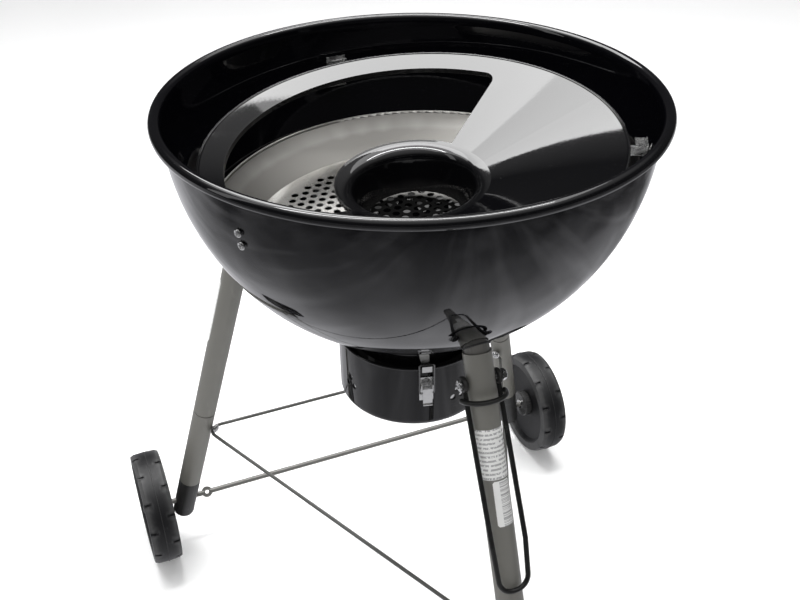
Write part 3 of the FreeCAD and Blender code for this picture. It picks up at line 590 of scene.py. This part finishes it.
def finish_of(name):
    """A finish made once by the paint shop operator."""
    material = bpy.data.materials.get(finish_name(name))
    if material is None:
        raise RuntimeError(f"the finish {name} isn't made yet: run Mix finishes first")
    return material


# ---- Settings ----
def colour_setting(name, description, default):
    return FloatVectorProperty(name=name, description=description, default=default, subtype="COLOR",
                               size=3, min=0.0, max=1.0)


def length_setting(name, description, default):
    return FloatProperty(name=name, description=description, default=default, unit="LENGTH",
                         subtype="DISTANCE")


class GrillFinishes(bpy.types.PropertyGroup):
    enamel: colour_setting("Enamel", "Colour of the fired enamel", (0.0015, 0.0015, 0.0022))
    enamel_gloss: FloatProperty(name="Enamel roughness", description="Lowest roughness of the enamel",
                                default=0.02, min=0.0, max=1.0, subtype="FACTOR")
    leg: colour_setting("Leg paint", "Powder paint on the legs", (0.105, 0.105, 0.092))
    brace: colour_setting("Brace paint", "Paint on the leg brace and axle", (0.085, 0.085, 0.08))
    wire: colour_setting("Hanger paint", "Paint on the hanger", (0.010, 0.010, 0.010))
    steel: colour_setting("Stainless", "Colour of the charcoal pan's steel", (0.36, 0.35, 0.33))
    zinc: colour_setting("Zinc", "Colour of the plated fasteners", (0.62, 0.62, 0.62))
    plastic: colour_setting("Plastic", "Colour of the wheels and caps", (0.004, 0.004, 0.005))
    label: colour_setting("Label", "Colour of the plain stickers", (0.83, 0.83, 0.82))


class GrillSizes(bpy.types.PropertyGroup):
    bowl_steps: IntProperty(name="Bowl steps", description="Facets round the bowl", default=256, min=48)
    weld: length_setting("Weld", "Width of a weld bead", 3.0 * MM)
    sticker: length_setting("Sticker", "Thickness of a sticker", 0.12 * MM)
    recess: length_setting("Recess", "Depth of a cross recess", 1.1 * MM)


class GrillStage(bpy.types.PropertyGroup):
    floor: colour_setting("Floor", "Colour of the floor", (0.93, 0.93, 0.93))
    world: FloatProperty(name="Surround", description="Strength of the surround overhead", default=0.9,
                         min=0.0)
    bounce: FloatProperty(name="Bounce", description="Strength of the floor's bounce", default=0.9, min=0.0)
    key: FloatProperty(name="Key", description="Power of the overhead soft box", default=62.0, unit="POWER")
    strip: FloatProperty(name="Strip", description="Power of the narrow strip overhead", default=48.0,
                         unit="POWER")
    back: FloatProperty(name="Back", description="Power of the soft box behind", default=27.0, unit="POWER")
    side: FloatProperty(name="Side", description="Power of the side strip", default=3.0, unit="POWER")
    fill: FloatProperty(name="Fill", description="Power of the front fill", default=20.0, unit="POWER")
    distance: length_setting("Camera distance", "Camera's distance from the rim's centre", 1.1594)
    azimuth: FloatProperty(name="Azimuth", description="Camera's bearing", default=math.radians(-22.371),
                           subtype="ANGLE")
    elevation: FloatProperty(name="Elevation", description="Camera's height angle",
                             default=math.radians(22.595), subtype="ANGLE")
    pitch: FloatProperty(name="Pitch", description="Camera turned down from the rim's centre",
                         default=math.radians(10.918), subtype="ANGLE")
    yaw: FloatProperty(name="Yaw", description="Camera turned left", default=math.radians(0.722),
                       subtype="ANGLE")
    roll: FloatProperty(name="Roll", description="Camera rolled", default=math.radians(-0.567),
                        subtype="ANGLE")
    lens: FloatProperty(name="Lens", description="Focal length in millimetres", default=46.59)


# ---- Operators ----
class GRILL_OT_finishes(bpy.types.Operator):
    """Mix every finish and paint the frame's own nodes"""

    bl_idname = "grill.finishes"
    bl_label = "Mix finishes"

    def execute(self, context):
        wanted = context.scene.grill_finishes
        enamel = black_enamel("enamel", tuple(wanted.enamel), wanted.enamel_gloss)
        black_enamel("funnel_enamel", (0.0018, 0.0018, 0.0022), wanted.enamel_gloss + 0.01)
        leg = powder_coat("leg_paint", tuple(wanted.leg), (0.16, 0.16, 0.14), 0.36)
        brace = powder_coat("brace_paint", tuple(wanted.brace), (0.12, 0.12, 0.11), 0.30)
        wire = powder_coat("black_paint", tuple(wanted.wire), (0.03, 0.03, 0.03), 0.26)
        spun = spun_steel("pan_steel", tuple(wanted.steel), 0.28, 5000.0)
        # The plate's finish carries a painted shade over its middle, under the funnel's throat.
        plate = spun_steel("plate_steel", tuple(wanted.steel), 0.16, 5000.0, PAINTED_SHADE_R)
        zinc = plated_steel("zinc", tuple(wanted.zinc), 0.20, 500.0)
        latch = plated_steel("latch_steel", (0.70, 0.70, 0.70), 0.12, 300.0)
        bail = plated_steel("bail_steel", (0.16, 0.16, 0.16), 0.22, 600.0)
        wheel = moulded_plastic("wheel_plastic", tuple(wanted.plastic), (0.009, 0.009, 0.010), 0.40, 900.0)
        cap = moulded_plastic("cap_plastic", (0.012, 0.012, 0.012), (0.026, 0.026, 0.026), 0.34, 1200.0)
        hub = moulded_plastic("hub_plastic", (0.008, 0.008, 0.008), (0.016, 0.016, 0.016), 0.14, 700.0)
        paper("sticker_plain", tuple(wanted.label), (0.70, 0.70, 0.68))
        paper("sticker_rows", tuple(wanted.label), (0.70, 0.70, 0.68), 5.2 * MM)
        paper("sticker_bars", tuple(wanted.label), (0.70, 0.70, 0.68), 1.6 * MM, True)
        weld_metal("weld_metal")
        legs = [name for name in NODES if name.endswith(("leg_upper", "leg_lower"))]
        caps = [name for name in NODES if name.endswith("leg_cap")]
        sockets = [name for name in NODES if name.endswith("leg_socket")]
        dress(enamel, "bowl", "collar", "ash_bucket")
        dress(finish_of("funnel_enamel"), "funnel")
        dress(spun, "charcoal_pan")
        dress(plate, "pan_plate")
        dress(zinc, "bracket_screws", "bracket_nuts", "pan_pegs", "damper_ring", "damper_studs", "leg_bolts",
              "brace_washers", "brace_screws", "axle_washers", "hanger_bolt", "hanger_nut", "latch_pins",
              "latch_rivets", "grate_bracket_left", "grate_bracket_right", "grate_bracket_rear")
        dress(latch, "latch_keepers", "latch_bases", "latch_lever_front", "latch_lever_rear")
        dress(bail, "latch_bail_front", "latch_bail_rear")
        dress(leg, *legs)
        dress(wire, "hanger", *sockets)
        dress(brace, "leg_brace", "axle")
        dress(cap, "axle_caps", *caps)
        dress(wheel, "left_wheel", "right_wheel")
        dress(hub, "left_wheel_hub", "right_wheel_hub")
        return {"FINISHED"}


class GRILL_OT_bowl(bpy.types.Operator):
    """Spin the kettle's bowl with its rolled rim and turned outlet"""

    bl_idname = "grill.bowl"
    bl_label = "Bowl"

    def execute(self, context):
        sizes = context.scene.grill_sizes
        steps = 72

        def sweep(inset, start, end):
            wide, deep = BOWL_R - inset, BOWL_DEPTH - inset
            first = math.asin(start / wide)
            last = math.asin(min(1.0, end / wide))
            turned = [first + (last - first) * k / steps for k in range(steps + 1)]
            return [(wide * math.sin(a), RIM_Z - deep * math.cos(a)) for a in turned]

        outline = sweep(0.0, OUTLET_R, BOWL_R * 0.99985)
        outline += arc(RIM_R - ROLL_R, RIM_Z, ROLL_R, BEAD_FROM, BEAD_TO, 40)
        outline += list(reversed(sweep(BOWL_WALL, OUTLET_R, (BOWL_R - BOWL_WALL) * 0.99998)))
        mesh = bmesh.new()
        spin(mesh, outline, sizes.bowl_steps, Matrix.Translation(AXIS))
        settle("bowl_shell", mesh, finish_of("enamel"), ROOT, ("bowl",), angle=50)
        return {"FINISHED"}


class GRILL_OT_stickers(bpy.types.Operator):
    """Wrap the plain stickers round the legs"""

    bl_idname = "grill.stickers"
    bl_label = "Stickers"

    def patch(self, name, leg, low, high, start, end, material, thick):
        """A label wrapped on a leg from one bearing to another, with rounded corners."""
        up, out, across = leg_axes(leg)
        tall = (high - low) / up.z
        inner = LEG_R + 0.02 * MM
        columns, rows = 28, 24
        round_r = 2.0 * MM
        wide = math.radians(end - start) * LEG_R
        mesh = bmesh.new()
        sheets = []
        for radius in (inner, inner + thick):
            grid = []
            for j in range(rows + 1):
                v = j / rows * tall
                near = min(v, tall - v)
                pull = round_r - math.sqrt(max(0.0, round_r ** 2 - max(0.0, round_r - near) ** 2))
                line = []
                for i in range(columns + 1):
                    u = pull + (wide - 2 * pull) * i / columns
                    bearing = math.radians(start) + u / LEG_R
                    spot = leg_point(leg, low) + up * v
                    spot += (out * math.cos(bearing) + across * math.sin(bearing)) * radius
                    line.append(mesh.verts.new(spot))
                grid.append(line)
            sheets.append(grid)
        for grid in sheets:
            for j in range(rows):
                for i in range(columns):
                    mesh.faces.new((grid[j][i], grid[j][i + 1], grid[j + 1][i + 1], grid[j + 1][i]))
        low_grid, high_grid = sheets
        for j in range(rows):
            for i in (0, columns):
                mesh.faces.new((low_grid[j][i], low_grid[j + 1][i], high_grid[j + 1][i], high_grid[j][i]))
        for i in range(columns):
            for j in (0, rows):
                mesh.faces.new((low_grid[j][i], low_grid[j][i + 1], high_grid[j][i + 1], high_grid[j][i]))
        settle(name, mesh, finish_of(material), ROOT)

    def execute(self, context):
        thick = context.scene.grill_sizes.sticker
        for name, leg, low, high, start, end, material in (
            ("front_sticker_top", "front", -0.357, -0.301, -81, 57, "sticker_rows"),
            ("front_sticker_low", "front", -0.411, -0.359, -30, 46, "sticker_bars"),
            ("rear_sticker", "left_rear", -0.393, -0.287, -12, 50, "sticker_plain"),
        ):
            self.patch(name, leg, RIM_Z + low, RIM_Z + high, start, end, material, thick)
        return {"FINISHED"}


class GRILL_OT_fasteners(bpy.types.Operator):
    """Turn the screws, with domed heads and cross recesses, and the threaded bolt ends"""

    bl_idname = "grill.fasteners"
    bl_label = "Fasteners"

    def execute(self, context):
        recess = context.scene.grill_sizes.recess
        zinc = finish_of("zinc")
        for node, name in (("bracket_screws", "bracket_screw_set"), ("brace_screws", "brace_screw_set")):
            mesh = bmesh.new()
            for points in islands(node):
                cross_screw(mesh, points, outward(points) * (1 if node == "bracket_screws" else -1), recess)
            settle(name, mesh, zinc, ROOT, (node,), angle=40)
        mesh = bmesh.new()
        for points in islands("bracket_nuts"):
            hexagon_nut(mesh, points, -outward(points), 1.0 * MM)
        settle("bracket_nut_set", mesh, zinc, ROOT, ("bracket_nuts",), angle=30)
        mesh = bmesh.new()
        for points in islands("hanger_nut"):
            hexagon_nut(mesh, points, EAST, 1.4 * MM)
        settle("hanger_lock_nut", mesh, zinc, ROOT, ("hanger_nut",), angle=30)
        mesh = bmesh.new()
        for points in islands("hanger_bolt"):
            cross_screw(mesh, points, -EAST, recess)
        settle("hanger_cross_bolt", mesh, zinc, ROOT, ("hanger_bolt",), angle=40)
        return {"FINISHED"}


class GRILL_OT_welds(bpy.types.Operator):
    """Lay the rippled weld beads where the leg sockets and the collar meet the bowl"""

    bl_idname = "grill.welds"
    bl_label = "Welds"

    def meeting(self, leg, bearing):
        """Point where a line on the socket's skin meets the bowl's outside."""
        up, out, across = leg_axes(leg)
        start = leg_point(leg, RIM_Z - SOCKET_LOW)
        start = start + (out * math.cos(bearing) + across * math.sin(bearing)) * SOCKET_R
        low, high = 0.0, 0.3
        for _ in range(30):
            middle = (low + high) / 2
            spot = start + up * middle
            level = (Vector((spot.x, spot.y, 0)) - AXIS).length / BOWL_R
            drop = (RIM_Z - spot.z) / BOWL_DEPTH
            low, high = (middle, high) if level * level + drop * drop > 1 else (low, middle)
        return start + up * low

    def execute(self, context):
        width = context.scene.grill_sizes.weld
        for leg in LEGS:
            steps = 140
            path = [self.meeting(leg, 2 * math.pi * k / steps) for k in range(steps)]
            mesh = bmesh.new()
            tube(mesh, path, lambda share: width * (0.46 + 0.07 * math.sin(share * 260)), 12, True)
            settle(f"{leg}_socket_weld", mesh, finish_of("weld_metal"), ROOT)
        mesh = bmesh.new()
        radius = COLLAR_R + 0.4 * MM
        share = radius / BOWL_R
        z = RIM_Z - BOWL_DEPTH * math.sqrt(1 - share * share) - width * 0.2
        steps = 360
        path = [polar(radius, 360 * k / steps, z) for k in range(steps)]
        tube(mesh, path, lambda part: width * (0.40 + 0.05 * math.sin(part * 900)), 10, True)
        settle("collar_weld", mesh, finish_of("weld_metal"), ROOT)
        return {"FINISHED"}


class GRILL_OT_stage(bpy.types.Operator):
    """Lay the floor, hang the lights and set the camera"""

    bl_idname = "grill.stage"
    bl_label = "Stage"

    def soft_box(self, name, target, azimuth, elevation, distance, size, power):
        data = bpy.data.lights.new(name, "AREA")
        data.shape = "RECTANGLE"
        data.size, data.size_y = size
        data.energy = power
        light = bpy.data.objects.new(name, data)
        bpy.context.scene.collection.objects.link(light)
        a, e = math.radians(azimuth), math.radians(elevation)
        back = Vector((math.sin(a) * math.cos(e), -math.cos(a) * math.cos(e), math.sin(e)))
        light.location = target + back * distance
        light.rotation_euler = (-back).to_track_quat("-Z", "Y").to_euler()
        return light

    def bounce_card(self, wanted):
        """A card on the floor that only polished surfaces see, dimmer away from the grill."""
        mesh = bmesh.new()
        bmesh.ops.create_grid(mesh, x_segments=4, y_segments=4, size=CARD_REACH)
        data = bpy.data.meshes.new("bounce_card")
        mesh.to_mesh(data)
        mesh.free()
        card = bpy.data.objects.new("bounce_card", data)
        bpy.context.scene.collection.objects.link(card)
        make = Maker("bounce_paint")
        distance = make.from_axis()
        cloud = make.noise(1.7, 2.0, 0.5)
        streak = make.noise(1.0, 2.0, 0.5, make.stretched((5.0, 0.8, 1.0)))
        _, y, _ = make.parts(make.place)
        glow = (1 - make.between(distance, 0.25, 1.5)) * 0.55 + make.between(cloud, 0.42, 0.62) * 0.22
        glow = glow + make.between(streak, 0.5, 0.7) * 0.25 + make.between(y, 0.45, 1.3) * 0.75 + 0.10
        make.constant(roughness=1.0, base_color=(0, 0, 0, 1), emission_strength=wanted.bounce)
        make.shader.inputs["Specular IOR Level"].default_value = 0.0
        make.feed(make.shader.inputs["Emission Color"], make.blend(glow, (0, 0, 0), (1.0, 1.0, 1.04)))
        data.materials.append(make.material)
        card.location.z = -CARD_DROP
        card.visible_camera = False
        card.visible_diffuse = False
        card.visible_shadow = False

    def surround(self, wanted):
        """An even surround, darker at the horizon and bright overhead."""
        world = bpy.data.worlds.new("surround")
        world.use_nodes = True
        nodes, links = world.node_tree.nodes, world.node_tree.links
        place = nodes.new("ShaderNodeTexCoord")
        split = nodes.new("ShaderNodeSeparateXYZ")
        ramp = nodes.new("ShaderNodeMapRange")
        ramp.inputs["From Min"].default_value = 0.45
        ramp.inputs["From Max"].default_value = 0.95
        ramp.inputs["To Min"].default_value = wanted.world * 0.04
        ramp.inputs["To Max"].default_value = wanted.world
        links.new(place.outputs["Generated"], split.inputs[0])
        links.new(split.outputs[2], ramp.inputs["Value"])
        links.new(ramp.outputs[0], nodes["Background"].inputs["Strength"])
        nodes["Background"].inputs["Color"].default_value = (1, 1, 1, 1)
        bpy.context.scene.world = world

    def execute(self, context):
        wanted = context.scene.grill_stage
        scene = context.scene
        mesh = bmesh.new()
        bmesh.ops.create_grid(mesh, x_segments=24, y_segments=24, size=FLOOR_REACH)
        data = bpy.data.meshes.new("floor")
        mesh.to_mesh(data)
        mesh.free()
        floor = bpy.data.objects.new("floor", data)
        scene.collection.objects.link(floor)
        data.materials.append(ground_coat("floor_paint", tuple(wanted.floor)))
        floor.location.z = -FLOOR_DROP
        floor.visible_glossy = False
        self.bounce_card(wanted)
        self.surround(wanted)
        centre = AXIS + UP * RIM_Z
        self.soft_box("overhead", centre, 172, 76, 2.3, (3.4, 2.4), wanted.key)
        self.soft_box("rim_strip", centre, 178, 79, 2.2, (2.6, 0.2), wanted.strip)
        self.soft_box("back_box", centre, 180, 48, 2.2, (1.25, 1.0), wanted.back)
        self.soft_box("side_strip", centre, -100, 25, 1.9, (0.4, 1.6), wanted.side)
        fill = self.soft_box("front_fill", centre, -30, 32, 2.6, (1.8, 1.2), wanted.fill)
        fill.visible_glossy = False
        data = bpy.data.cameras.new("camera")
        data.lens = wanted.lens
        data.sensor_width = 36.0
        data.clip_start = 0.01
        camera = bpy.data.objects.new("camera", data)
        scene.collection.objects.link(camera)
        a, e = wanted.azimuth, wanted.elevation
        back = Vector((math.sin(a) * math.cos(e), -math.cos(a) * math.cos(e), math.sin(e)))
        aim = (-back).to_track_quat("-Z", "Y").to_matrix().to_4x4()
        turn = Matrix.Rotation(-wanted.pitch, 4, "X") @ Matrix.Rotation(wanted.yaw, 4, "Y")
        turn = turn @ Matrix.Rotation(wanted.roll, 4, "Z")
        camera.matrix_world = Matrix.Translation(centre + back * wanted.distance) @ aim @ turn
        scene.camera = camera
        scene.view_settings.view_transform = "Standard"
        return {"FINISHED"}


OPERATORS = (GRILL_OT_finishes, GRILL_OT_bowl, GRILL_OT_stickers, GRILL_OT_fasteners, GRILL_OT_welds,
             GRILL_OT_stage)


class GRILL_PT_panel(bpy.types.Panel):
    """Lists the settings and the steps that build the grill"""

    bl_idname = "GRILL_PT_panel"
    bl_label = "Kettle grill"
    bl_space_type = "VIEW_3D"
    bl_region_type = "UI"
    bl_category = "Grill"

    def draw(self, context):
        for settings in (context.scene.grill_finishes, context.scene.grill_sizes, context.scene.grill_stage):
            box = self.layout.box()
            for name in settings.__annotations__:
                box.prop(settings, name)
        for operator in OPERATORS:
            self.layout.operator(operator.bl_idname)


CLASSES = (GrillFinishes, GrillSizes, GrillStage, *OPERATORS, GRILL_PT_panel)


def register():
    for one in CLASSES:
        bpy.utils.register_class(one)
    bpy.types.Scene.grill_finishes = PointerProperty(type=GrillFinishes)
    bpy.types.Scene.grill_sizes = PointerProperty(type=GrillSizes)
    bpy.types.Scene.grill_stage = PointerProperty(type=GrillStage)


def unregister():
    del bpy.types.Scene.grill_finishes
    del bpy.types.Scene.grill_sizes
    del bpy.types.Scene.grill_stage
    for one in reversed(CLASSES):
        bpy.utils.unregister_class(one)


def main():
    register()
    for operator in OPERATORS:
        getattr(bpy.ops.grill, operator.bl_idname.split(".")[1])()


if __name__ == "__main__":
    main()
